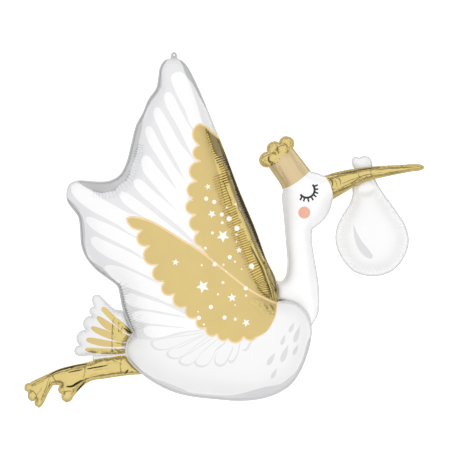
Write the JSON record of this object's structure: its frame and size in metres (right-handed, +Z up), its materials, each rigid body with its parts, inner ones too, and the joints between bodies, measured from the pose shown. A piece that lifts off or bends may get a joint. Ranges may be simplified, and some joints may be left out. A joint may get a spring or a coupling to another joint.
{
  "type": "foil balloon",
  "caption": "Inflated foil party balloon shaped as a flying stork with a gold crown, beak and legs, carrying a white bundle. It lies on its back and has a hanging tab at the wing tip.",
  "frame": {"origin": "centre of the base of the bounding box, on the surface that the balloon lies on", "axes": "+Z up, out of the printed front; +X towards the tip of the beak; +Y towards the tip of the raised wing"},
  "size_m": [1.5192, 1.351, 0.223],
  "materials": {
    "body_film": "glossy white film with satin gold and pale grey print, and bare gold foil along the wing's leading edge",
    "head_film": "glossy white film, with a satin gold crown and a beak of bare gold foil",
    "bundle_film": "glossy white film with a pale grey print",
    "tail_foil": "crumpled metallised gold foil, with white film round the printed tail feathers",
    "tab_film": "glossy grey-white film"
  },
  "bodies": {
    "root": {"body_and_wings": "body_film", "head_and_neck": "head_film", "bundle": "bundle_film", "tail_and_legs": "tail_foil", "hang_tab": "tab_film"}
  },
  "joints": []
}
